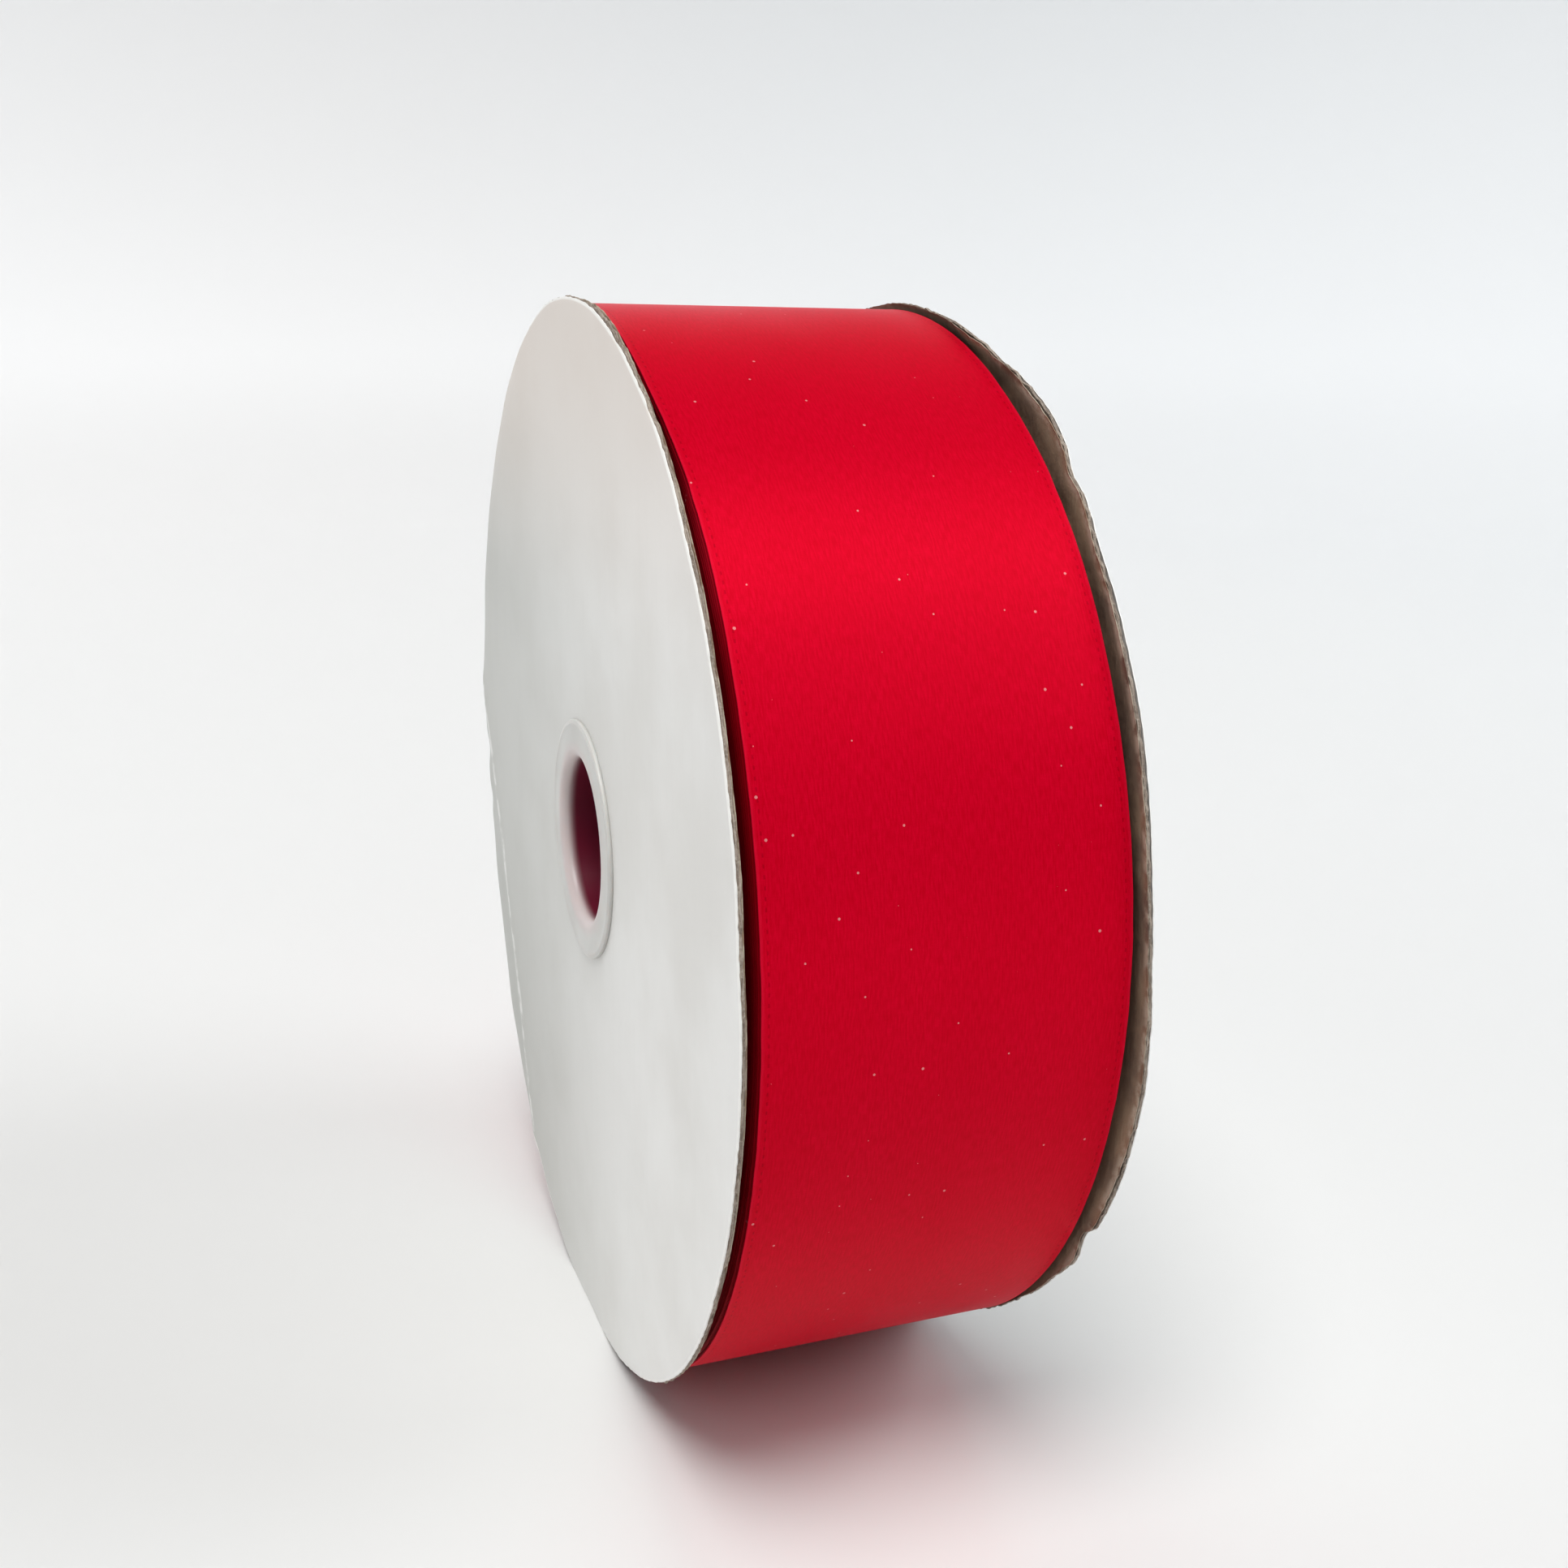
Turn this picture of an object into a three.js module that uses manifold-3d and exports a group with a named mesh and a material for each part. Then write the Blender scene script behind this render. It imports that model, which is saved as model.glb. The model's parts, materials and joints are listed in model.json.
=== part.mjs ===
// Ribbon spool: two three-ply board flanges on a two-piece plastic hub, with a wide satin ribbon wound
// between them and its free end held down by clear tape. Millimetres, +Z up. The spool stands on its rims,
// its bore runs along Y through the origin, and the front flange is the one at -Y.
import * as THREE from 'three';
import { mergeVertices } from 'three/addons/utils/BufferGeometryUtils.js';
import Module from 'manifold-3d';

const wasm = await Module();
wasm.setup();

// Driving dimensions.
const ribbonWidth = 48.5;
const packOffset = 0.4; // the roll lies nearer the rear flange
const ribbonThickness = 0.25;
const packRadius = 79.7;
const flangeRadius = 81.5;
const overallWidth = 53.6;
const standHeight = 80.9; // from the bore's axis down to the crushed flat on each rim
const boreRadius = 12.7;
const hubRingRadius = 18.7;

// Flange plies, from the outside in. Plies are glued face to face, with a film of glue between them.
const facingThickness = 0.15;
const boardThickness = 0.42;
const linerThickness = 0.14;
const glueGap = 0.02;
const dishDepth = 1; // how far the flange's centre is drawn in behind its rim plane
const dishStart = 21; // radius where the flat seat under the hub ring ends

// Hub: the front half's tube slides into the rear half's sleeve.
const tubeWall = 1.2;
const slideGap = 0.3;
const sleeveWall = 1.2;
const hubRingThickness = 0.7;
const seatGap = 0.05;
const collarDepth = 1.5; // below the ring's underside, through the flange's hole
const shoulderDepth = 6.8; // rear half: how far the narrow mouth runs in before the sleeve widens
const snapBead = { offset: 16.3, halfWidth: 0.2, ramp: 0.4, height: 0.4 };
const fingerSlot = { width: 1.4, length: 11, count: 4 };

// Ribbon tail and tapes, as steps of the pack's facets. Angles run from +X towards +Z.
const flangeSegments = 64;
const hubSegments = 40;
const facetAngle = (2 * Math.PI) / flangeSegments;
const hubFacetAngle = (2 * Math.PI) / hubSegments;
const tailRootStep = 25;
const tailTipStep = 36;
const tailLift = 0.15;
const endTape = { width: 19, thickness: 0.1, fromStep: 34, toStep: 38, lift: 0.1 };
const coreTape = { width: 40, thickness: 0.1, fromStep: 12, toStep: 17, lift: 0.05 };

// Values that follow from them.
const rimPlane = overallWidth / 2;
const seatPlane = rimPlane - dishDepth;
const tubeOuter = boreRadius + tubeWall;
const sleeveInner = tubeOuter + slideGap;
const sleeveOuter = sleeveInner + sleeveWall;
const flangeHole = sleeveOuter + slideGap;
const packInner = sleeveOuter + slideGap;
const ringTop = seatPlane + seatGap + hubRingThickness;
const ringUnder = seatPlane + seatGap;
const collarEnd = ringUnder - collarDepth;
const shoulder = ringTop - shoulderDepth;
const tubeEnd = shoulder - 2 * slideGap;
const sleeveEnd = collarEnd - 2 * slideGap;

// A ring turned about Y. The outline is a closed loop of [radius, y] points, in either direction.
function turned(outline, segments) {
  const points = outline.map(([radius, y]) => new THREE.Vector2(radius, y));
  if (THREE.ShapeUtils.area(points) < 0) points.reverse();
  return new THREE.LatheGeometry([...points, points[0].clone()], segments);
}

// A curved strip round the bore, from one angle to another, over the middle of the roll's width.
function arcStrip(innerRadius, thickness, width, fromAngle, toAngle, segments) {
  const outline = new THREE.Shape();
  outline.absarc(0, 0, innerRadius + thickness, fromAngle, toAngle, false);
  outline.absarc(0, 0, innerRadius, toAngle, fromAngle, true);
  const strip = new THREE.ExtrudeGeometry(outline, {
    depth: width,
    bevelEnabled: false,
    curveSegments: segments,
  });
  strip.rotateX(Math.PI / 2);
  strip.translate(0, packOffset + width / 2, 0);
  return strip;
}

function toSolid(geometry) {
  const bare = geometry.clone();
  bare.deleteAttribute('normal');
  bare.deleteAttribute('uv');
  const merged = mergeVertices(bare, 1e-4);
  const vertProperties = new Float32Array(merged.attributes.position.array);
  const triVerts = new Uint32Array(merged.index.array);
  return new wasm.Manifold(new wasm.Mesh({ numProp: 3, vertProperties, triVerts }));
}

function toGeometry(solid) {
  const { vertProperties, triVerts } = solid.getMesh();
  const geometry = new THREE.BufferGeometry();
  geometry.setAttribute('position', new THREE.BufferAttribute(vertProperties, 3));
  geometry.setIndex(new THREE.BufferAttribute(triVerts, 1));
  geometry.computeVertexNormals();
  return geometry;
}

function cut(geometry, tools) {
  const solid = tools.reduce((left, tool) => left.subtract(toSolid(tool)), toSolid(geometry));
  return toGeometry(solid);
}

// One ply of a flange: a shallow dished disc with a hole, flattened where the spool stands.
// Depth counts inwards from the flange's outer face; side is -1 for the front and +1 for the rear.
function flangePly(depth, thickness, side) {
  const outerFace = [[flangeHole, seatPlane], [dishStart, seatPlane], [flangeRadius, rimPlane]];
  const top = outerFace.map(([radius, y]) => [radius, side * (y - depth)]);
  const under = outerFace.map(([radius, y]) => [radius, side * (y - depth - thickness)]);
  const disc = turned([...top, ...under.reverse()], flangeSegments);
  const groundDepth = 10;
  const ground = new THREE.BoxGeometry(flangeRadius, overallWidth * 2, groundDepth);
  ground.translate(0, 0, -standHeight - groundDepth / 2);
  return cut(disc, [ground]);
}

// The visible ring of a hub half, from the mouth of the bore out to the ring's rounded rim.
function ringOutline() {
  return [
    [boreRadius, ringTop - 1.2],
    [boreRadius + 0.3, ringTop - 0.45],
    [boreRadius + 1, ringTop],
    [hubRingRadius - 0.6, ringTop],
    [hubRingRadius - 0.1, ringTop - 0.2],
    [hubRingRadius, ringTop - 0.45],
    [hubRingRadius - 0.2, ringUnder],
    [sleeveOuter, ringUnder],
  ];
}

// Front hub half: ring, short collar in the flange's hole, and a tube that ends in snap fingers.
function frontHub() {
  const { offset, halfWidth, ramp, height } = snapBead;
  const outline = [
    ...ringOutline(),
    [sleeveOuter, collarEnd],
    [tubeOuter, collarEnd],
    [tubeOuter, -offset + halfWidth + ramp],
    [tubeOuter + height, -offset + halfWidth],
    [tubeOuter + height, -offset - halfWidth],
    [tubeOuter, -offset - halfWidth - ramp],
    [tubeOuter, -tubeEnd + tubeWall / 2],
    [tubeOuter - tubeWall / 2, -tubeEnd],
    [boreRadius, -tubeEnd],
  ];
  const mirrored = outline.map(([radius, y]) => [radius, -y]);
  const slots = [];
  for (let i = 0; i < fingerSlot.count / 2; i += 1) {
    const slot = new THREE.BoxGeometry(4 * tubeOuter, fingerSlot.length, fingerSlot.width);
    slot.rotateY((i * 2 * Math.PI) / fingerSlot.count + Math.PI / fingerSlot.count);
    slot.translate(0, tubeEnd - fingerSlot.length / 2 + slideGap, 0);
    slots.push(slot);
  }
  return cut(turned(mirrored, hubSegments), slots);
}

// Rear hub half: ring, narrow mouth, and the sleeve that the ribbon is wound on.
function rearHub() {
  const { offset, halfWidth, ramp, height } = snapBead;
  const groove = sleeveInner + height + 0.05;
  return turned(
    [
      ...ringOutline(),
      [sleeveOuter, -sleeveEnd],
      [sleeveInner, -sleeveEnd],
      [sleeveInner, offset - halfWidth - 2 * ramp],
      [groove, offset - halfWidth - ramp],
      [groove, offset + halfWidth + ramp],
      [sleeveInner, offset + halfWidth + 2 * ramp],
      [sleeveInner, shoulder],
      [boreRadius, shoulder],
    ],
    hubSegments,
  );
}

function ribbonPack() {
  const near = packOffset - ribbonWidth / 2;
  const far = packOffset + ribbonWidth / 2;
  return turned([[packInner, near], [packRadius, near], [packRadius, far], [packInner, far]], flangeSegments);
}

function ribbonTail() {
  const steps = tailTipStep - tailRootStep;
  const from = tailRootStep * facetAngle;
  const to = tailTipStep * facetAngle;
  return arcStrip(packRadius + tailLift, ribbonThickness, ribbonWidth, from, to, steps);
}

function endTapeStrip() {
  const { width, thickness, fromStep, toStep, lift } = endTape;
  const inner = packRadius + tailLift + ribbonThickness + lift;
  return arcStrip(inner, thickness, width, fromStep * facetAngle, toStep * facetAngle, toStep - fromStep);
}

function coreTapeStrip() {
  const { width, thickness, fromStep, toStep, lift } = coreTape;
  const from = fromStep * hubFacetAngle;
  return arcStrip(sleeveOuter + lift, thickness, width, from, toStep * hubFacetAngle, toStep - fromStep);
}

const materials = {
  coatedPaper: { color: 0xe4e3df, roughness: 0.45, metalness: 0 },
  chipboard: { color: 0x8b8176, roughness: 0.95, metalness: 0 },
  kraftLiner: { color: 0x9c8b72, roughness: 0.85, metalness: 0 },
  hubPlastic: { color: 0xe9e2e0, roughness: 0.35, metalness: 0, transparent: true, opacity: 0.7 },
  satin: { color: 0xc4062c, roughness: 0.38, metalness: 0 },
  tapeFilm: { color: 0xeeeee6, roughness: 0.2, metalness: 0, transparent: true, opacity: 0.4 },
};

const spool = new THREE.Group();

function addPiece(name, geometry, material) {
  const mesh = new THREE.Mesh(geometry, new THREE.MeshStandardMaterial(materials[material]));
  mesh.name = name;
  spool.add(mesh);
}

const boardDepth = facingThickness + glueGap;
const linerDepth = boardDepth + boardThickness + glueGap;
for (const [end, side] of [['front', -1], ['rear', 1]]) {
  addPiece(`${end}_facing_paper`, flangePly(0, facingThickness, side), 'coatedPaper');
  addPiece(`${end}_board`, flangePly(boardDepth, boardThickness, side), 'chipboard');
  addPiece(`${end}_liner`, flangePly(linerDepth, linerThickness, side), 'kraftLiner');
}
addPiece('front_hub', frontHub(), 'hubPlastic');
addPiece('rear_hub', rearHub(), 'hubPlastic');
addPiece('core_tape', coreTapeStrip(), 'tapeFilm');
addPiece('ribbon_pack', ribbonPack(), 'satin');
addPiece('ribbon_tail', ribbonTail(), 'satin');
addPiece('end_tape', endTapeStrip(), 'tapeFilm');

export default spool;
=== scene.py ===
"""Looks for the ribbon spool: worn board flanges, a translucent plastic hub and a roll of red satin ribbon.

All places are in the CAD frame: the bore runs along Y, the front flange is at -Y and +Z is up. Angles round
the spool run from +X towards +Z. Shapes are written in millimetres, and mesh_object scales them to metres.
"""

import json
import math

import bpy
import numpy as np
from mathutils import Matrix, Vector


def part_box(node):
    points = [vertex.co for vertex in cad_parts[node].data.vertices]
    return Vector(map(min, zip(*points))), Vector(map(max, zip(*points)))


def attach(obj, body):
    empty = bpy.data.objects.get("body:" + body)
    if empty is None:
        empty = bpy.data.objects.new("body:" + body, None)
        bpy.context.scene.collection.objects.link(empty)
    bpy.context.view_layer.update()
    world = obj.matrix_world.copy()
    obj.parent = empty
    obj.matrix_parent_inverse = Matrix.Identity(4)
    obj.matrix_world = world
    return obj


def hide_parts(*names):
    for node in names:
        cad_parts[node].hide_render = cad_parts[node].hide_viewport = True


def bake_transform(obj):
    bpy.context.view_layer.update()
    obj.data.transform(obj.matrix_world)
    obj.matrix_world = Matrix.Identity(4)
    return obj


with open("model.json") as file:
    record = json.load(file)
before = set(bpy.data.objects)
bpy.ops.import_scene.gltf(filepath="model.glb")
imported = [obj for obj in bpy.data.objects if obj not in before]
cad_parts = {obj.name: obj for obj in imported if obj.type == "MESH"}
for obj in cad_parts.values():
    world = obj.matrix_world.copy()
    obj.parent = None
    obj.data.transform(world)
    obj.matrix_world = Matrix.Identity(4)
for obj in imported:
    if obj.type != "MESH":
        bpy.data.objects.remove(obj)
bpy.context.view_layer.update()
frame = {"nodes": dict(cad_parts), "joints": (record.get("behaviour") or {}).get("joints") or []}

MM = 0.001
TURN = 2 * math.pi

# Sizes read from the CAD frame, in millimetres.
RIM_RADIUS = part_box("front_board")[1][0] / MM
RIM_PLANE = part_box("rear_facing_paper")[1][1] / MM
STAND_HEIGHT = -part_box("front_board")[0][2] / MM
PACK_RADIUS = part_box("ribbon_pack")[1][0] / MM
RIBBON_NEAR, RIBBON_FAR = (corner[1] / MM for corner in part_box("ribbon_pack"))
RIBBON_HALF = (RIBBON_FAR - RIBBON_NEAR) / 2
RIBBON_MIDDLE = (RIBBON_FAR + RIBBON_NEAR) / 2
RING_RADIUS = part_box("front_hub")[1][0] / MM
RING_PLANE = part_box("rear_hub")[1][1] / MM
HINGE = next(joint for joint in frame["joints"] if joint["name"] == "tail_peel")["pos_m"]

# Sizes that part.mjs names and a box can't tell, in millimetres.
BORE_RADIUS = 12.7
WALL = 1.2  # of the hub's tube and of its sleeve
SLIDE_GAP = 0.3
DISH = 1.0  # how far a flange's middle is drawn in behind its rim
DISH_START = 21
FLANGE_HOLE = 15.7
FACING, BOARD, LINER, GLUE = 0.15, 0.42, 0.14, 0.02
RING_THICKNESS = 0.7
COLLAR_DEPTH = 1.5  # below a hub ring's underside, through the flange's hole
SHOULDER_DEPTH = 6.8  # how far the rear hub's narrow mouth runs in before the sleeve widens
BEAD_OFFSET = 16.3  # of the snap bead and its groove from the spool's middle
SLOT_LENGTH, SLOT_WIDTH = 11, 1.4  # of the saw cuts between the snap fingers

# Hub sizes that follow from them.
COLLAR_RADIUS = FLANGE_HOLE - SLIDE_GAP
RING_UNDERSIDE = RING_PLANE - RING_THICKNESS
COLLAR_END = RING_UNDERSIDE - COLLAR_DEPTH
SHOULDER = RING_PLANE - SHOULDER_DEPTH
TUBE_END = SHOULDER - 2 * SLIDE_GAP
SLEEVE_END = COLLAR_END - 2 * SLIDE_GAP

# The wound ribbon: thickness of one turn, and the angles of its free end and of the line it peels from.
TURN_THICKNESS = 0.21
TIP_ANGLE = math.radians(202.5)
ROOT_ANGLE = math.atan2(HINGE[2], HINGE[0])
TIP_RADIUS = PACK_RADIUS + 0.25

# Camera, matched to the photographed viewpoint.
CAMERA_AZIMUTH = math.radians(71.94)
CAMERA_ELEVATION = math.radians(16.35)
CAMERA_DISTANCE = 0.2864
CAMERA_AIM = (0.00066, 0.00692, 0.00626)
CAMERA_ROLL = math.radians(0.38)
CAMERA_LENS = 41.0


# ---------------------------------------------------------------- shapes


def mesh_object(name, points, faces, smooth_angle=40, attributes=None):
    """A mesh piece from points in millimetres. attributes maps a name to one 3-vector for each point."""
    mesh = bpy.data.meshes.new(name)
    mesh.from_pydata((np.asarray(points) * MM).tolist(), [], faces)
    mesh.validate()
    for key, values in (attributes or {}).items():
        layer = mesh.attributes.new(key, "FLOAT_VECTOR", "POINT")
        layer.data.foreach_set("vector", np.asarray(values, np.float32).ravel())
    mesh.polygons.foreach_set("use_smooth", [True] * len(mesh.polygons))
    mesh.set_sharp_from_angle(angle=math.radians(smooth_angle))
    piece = bpy.data.objects.new(name, mesh)
    bpy.context.scene.collection.objects.link(piece)
    return piece


def grid_faces(rows, columns, wrap_rows, wrap_columns, flip):
    """Quads over a grid of points numbered row by row. flip turns them over."""
    faces = []
    for i in range(rows if wrap_rows else rows - 1):
        for j in range(columns if wrap_columns else columns - 1):
            a = i * columns + j
            b = i * columns + (j + 1) % columns
            c = ((i + 1) % rows) * columns + (j + 1) % columns
            d = ((i + 1) % rows) * columns + j
            faces.append((a, d, c, b) if flip else (a, b, c, d))
    return faces


def band_faces(rows, width, flip):
    """Faces of a thin closed band, whose rows of points cross its top and come back along its underside."""
    columns = 2 * width
    faces = grid_faces(rows, columns, False, True, flip)
    last = (rows - 1) * columns
    for j in range(width - 1):
        start_cap = (j, columns - 1 - j, columns - 2 - j, j + 1)
        end_cap = (last + j, last + j + 1, last + columns - 2 - j, last + columns - 1 - j)
        for a, b, c, d in (start_cap, end_cap):
            faces.append((a, d, c, b) if flip else (a, b, c, d))
    return faces


def polar(angle, radius, y):
    """Points in the CAD frame from an angle round the bore, a radius and a place along the bore."""
    return np.stack([radius * np.cos(angle), y + 0 * radius * angle, radius * np.sin(angle)], axis=-1)


def turned(name, outline, steps):
    """A closed ring turned about the bore from a closed outline of (radius, y) points."""
    radius, y = np.array(outline, float).T
    area = np.sum(radius * np.roll(y, -1) - np.roll(radius, -1) * y)
    angle = np.linspace(0, TURN, steps, endpoint=False)[:, None]
    points = polar(angle, radius[None, :], y[None, :]).reshape(-1, 3)
    return mesh_object(name, points, grid_faces(steps, len(y), True, True, flip=area > 0))


def arc(centre, radius, start, stop, steps):
    """Points of a round corner in an outline, from one angle to another in degrees."""
    angles = np.radians(np.linspace(start, stop, steps))
    return [(centre[0] + radius * math.cos(a), centre[1] + radius * math.sin(a)) for a in angles]


def smooth(x):
    """Rises smoothly from 0 to 1 as x does, and is flat outside."""
    x = np.clip(x, 0, 1)
    return x * x * (3 - 2 * x)


def ripple(angle, lowest, highest, seed, falloff=1.0):
    """Waviness that closes on itself, of lowest to highest waves a turn, from about -1 to 1."""
    rng = np.random.default_rng(seed)
    total, power = 0 * angle, 0
    for waves in range(lowest, highest + 1):
        weight = (lowest / waves) ** falloff * rng.uniform(0.5, 1)
        total = total + weight * np.sin(waves * angle + rng.uniform(0, TURN))
        power += weight * weight / 2
    return total / (2 * math.sqrt(power))


def around(angle, knots):
    """A smooth closed curve round the rim through (degrees, value) knots."""
    degrees = np.degrees(angle) % 360
    places = np.array([k[0] % 360 for k in knots], float)
    order = np.argsort(places)
    places, values = places[order], np.array([k[1] for k in knots], float)[order]
    places = np.concatenate([[places[-1] - 360], places, [places[0] + 360]])
    values = np.concatenate([[values[-1]], values, [values[0]]])
    found = np.clip(np.searchsorted(places, degrees, side="right") - 1, 0, len(places) - 2)
    part = (degrees - places[found]) / (places[found + 1] - places[found])
    return values[found] + (values[found + 1] - values[found]) * smooth(part)


def near(angle, centre, half_width):
    """1 where the angle meets a centre in degrees, falling smoothly to 0 a half width away."""
    off = (np.degrees(angle) - centre + 180) % 360 - 180
    return 1 - smooth(np.abs(off) / half_width)


# ---------------------------------------------------------------- flanges

# The worn rims, as (degrees, millimetres) knots. Lean and curl are how far a rim leaves its plane, positive
# away from the ribbon. Crush is how far its edge stands outside the round, or inside it. REAR_LEAN from -30
# to 61 degrees is a scratch script's measurement of the photo's outline, thinned and rounded. REAR_CURL and
# REAR_CRUSH were chosen with that measurement in view, and the rest one by one or, on the unseen side,
# freely.
REAR_LEAN = [
    (-90, 0), (-60, 0.2), (-38, 0.3), (-30, 0.6), (-20, 1.2), (-12, 1.15), (-5, 0.7), (2, 0.1),
    (12, -0.1), (22, 0.1), (38, 0), (45, 0.45), (55, 1.2), (61, 0.6), (66, 0), (90, 0), (130, 0.5),
    (170, 0.2), (200, 0.9), (235, 0.3),
]
REAR_CURL = [
    (-90, -0.3), (-62, -1.3), (-48, -1.5), (-40, -0.9), (-34, 0), (58, 0), (66, -0.8), (74, -1.3),
    (84, -1.6), (96, -0.9), (108, -0.2), (120, 0), (215, 0), (250, -0.3),
]
REAR_CRUSH = [
    (-90, 0), (-74, -0.3), (-64, -1.4), (-50, -1.6), (-42, -0.9), (-34, 0), (60, 0), (70, -0.35),
    (82, -0.8), (94, -0.6), (106, 0), (240, 0),
]
FRONT_LEAN = [
    (-90, 0), (-45, 0.1), (0, 0), (45, 0), (90, 0), (120, -0.1), (180, 0), (225, 0.35), (250, 0.2),
]
FRONT_CURL = [(-90, 0), (60, 0), (110, 0), (140, -0.2), (175, -0.3), (205, -0.3), (230, -0.15), (250, 0)]
FRONT_CRUSH = [(-90, 0), (0, 0), (90, 0), (180, 0), (206, 0.5), (222, 0.7), (238, 0.3)]
FLANGES = {
    "front": {"side": -1, "lean": FRONT_LEAN, "curl": FRONT_CURL, "crush": FRONT_CRUSH, "seed": 11},
    "rear": {"side": 1, "lean": REAR_LEAN, "curl": REAR_CURL, "crush": REAR_CRUSH, "seed": 47},
}
LEAN_START = 66.0  # radius where a leaning rim starts to leave the flat of the flange
CURL_START = 78.4  # radius where a rolled-over rim starts, just inside the ribbon's outer turn

# The front flange is bent back along one straight crease.
CREASE_FACES = 206  # degrees round the spool at which the bent part lies
CREASE_DISTANCE = 68.2  # from the bore's axis


def flange_lift(end, angle, radius):
    """How far a flange stands out of its own flat plane, in millimetres away from the ribbon."""
    flange = FLANGES[end]
    lean_part = np.clip((radius - LEAN_START) / (RIM_RADIUS - LEAN_START), 0, None)
    curl_part = np.clip((radius - CURL_START) / (RIM_RADIUS - CURL_START), 0, None)
    lift = around(angle, flange["lean"]) * lean_part**1.7
    lift = lift + around(angle, flange["curl"]) * curl_part**1.5
    slack = smooth((radius - 24) / 40)
    lift = lift + 0.07 * slack * ripple(angle + radius / 60, 2, 7, flange["seed"])
    lift = lift + 0.1 * lean_part**2 * ripple(angle, 9, 40, flange["seed"] + 1)
    if end == "rear":
        lift = lift - 0.5 * near(angle, 47.5, 3.2) * smooth((radius - 74) / 5)
        lift = lift + 0.35 * near(angle, 68, 2.5) * curl_part
        lift = lift - 0.45 * near(angle, -33, 2.2) * lean_part**3
    else:
        past_crease = radius * np.cos(angle - math.radians(CREASE_FACES)) - CREASE_DISTANCE
        ridge = 0.22 * np.exp(-((past_crease / 1.4) ** 2))
        lift = lift - 0.05 * np.clip(past_crease, 0, None) + ridge
        lift = lift - 0.3 * near(angle, 183, 3) * smooth((radius - 76) / 4)
        lift = lift - 0.25 * near(angle, 190, 2.5) * smooth((radius - 76) / 4)
        lift = lift + 0.16 * near(angle, -38, 16) * smooth((radius - 40) / 12) * smooth((78 - radius) / 12)
    return lift


def flange_plane(radius):
    """How far the unworn outer face is from the spool's middle: flat under the hub ring, then a cone."""
    cone = np.clip((radius - DISH_START) / (RIM_RADIUS - DISH_START), 0, None)
    return RIM_PLANE - DISH + DISH * cone


def rim_radius(end, angle, rough, seed):
    """Radius of a ply's edge, flattened where the spool stands."""
    flange = FLANGES[end]
    radius = RIM_RADIUS + around(angle, flange["crush"]) - 0.12
    radius = radius + rough * ripple(angle, 90, 330, flange["seed"] + seed, falloff=0.6)
    radius = radius + 0.5 * rough * ripple(angle, 14, 60, flange["seed"] + seed + 5)
    if end == "rear":
        radius = radius - 1.1 * near(angle, -31, 2.4)
    else:
        radius = radius - 0.35 * near(angle, 56, 2) - 0.3 * near(angle, 69, 2.5) - 0.25 * near(angle, 30, 2)
    below = np.maximum(-np.sin(angle), 1e-6)
    return np.minimum(radius, STAND_HEIGHT / below)


def ply(name, end, depth, thickness, steps, rough, seed, split):
    """One ply of a flange. depth is from the flange's outer face. split maps angles to how far the ply has
    come away at its rim where the glue has let go, in millimetres, negative towards the ribbon."""
    side = FLANGES[end]["side"]
    angle = np.linspace(0, TURN, steps, endpoint=False)[:, None]
    edge = rim_radius(end, angle, rough, seed)
    inner = np.concatenate(
        [np.linspace(FLANGE_HOLE, DISH_START, 3), np.linspace(26, 54, 6), np.linspace(59, 65, 4)]
    )
    outer_share = np.concatenate([np.linspace(0, 0.965, 17)[1:], [0.978, 0.989, 1.0]])
    inner_radius = np.repeat(inner[None, :], steps, axis=0)
    outer_radius = inner[-1] + (edge - inner[-1]) * outer_share[None, :]
    face_radius = np.concatenate([inner_radius, outer_radius], axis=1)
    split_width, pressed_width = 7, 0.5
    gap = split(angle) * smooth((face_radius - edge + split_width) / split_width) ** 2
    pressed = 0.12 * np.clip((face_radius - edge + pressed_width) / pressed_width, 0, 1) ** 2
    top = flange_plane(face_radius) + flange_lift(end, angle, face_radius) - depth + gap - pressed
    under = top - thickness
    bulge = 0.0875 * thickness
    edge_share = np.array([0.32, 0.68])[None, :]
    fibres = rough * 0.4 * ripple(angle + edge_share, 200, 520, seed + 3, falloff=0.4)
    edge_radius = edge + bulge + fibres
    edge_y = top[:, -1:] - thickness * edge_share
    radius = np.concatenate([face_radius, edge_radius, face_radius[:, ::-1]], axis=1)
    y = np.concatenate([top, edge_y, under[:, ::-1]], axis=1)
    floor_limit = STAND_HEIGHT / np.maximum(-np.sin(angle), 1e-6)
    radius = np.minimum(radius, floor_limit)
    points = polar(angle, radius, side * y).reshape(-1, 3)
    faces = grid_faces(steps, radius.shape[1], True, True, flip=side < 0)
    return mesh_object(name, points, faces, smooth_angle=50)


def no_split(angle):
    return 0 * angle


def rear_facing_split(angle):
    return 0.25 * near(angle, 25, 30) + 0.3 * near(angle, 205, 25) + 0.1 * ripple(angle, 3, 20, 5) ** 2


def rear_liner_split(angle):
    torn = near(angle, 57, 7) + near(angle, 72, 8) + 0.7 * near(angle, -24, 14) + near(angle, 150, 12)
    return -0.45 * torn


def front_liner_split(angle):
    return -0.55 * near(angle, 76, 16) - 0.15 * near(angle, 40, 8) - 0.2 * near(angle, 240, 15)


def front_board_split(angle):
    return -0.3 * near(angle, 74, 14) - 0.06 * near(angle, 235, 12)


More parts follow.
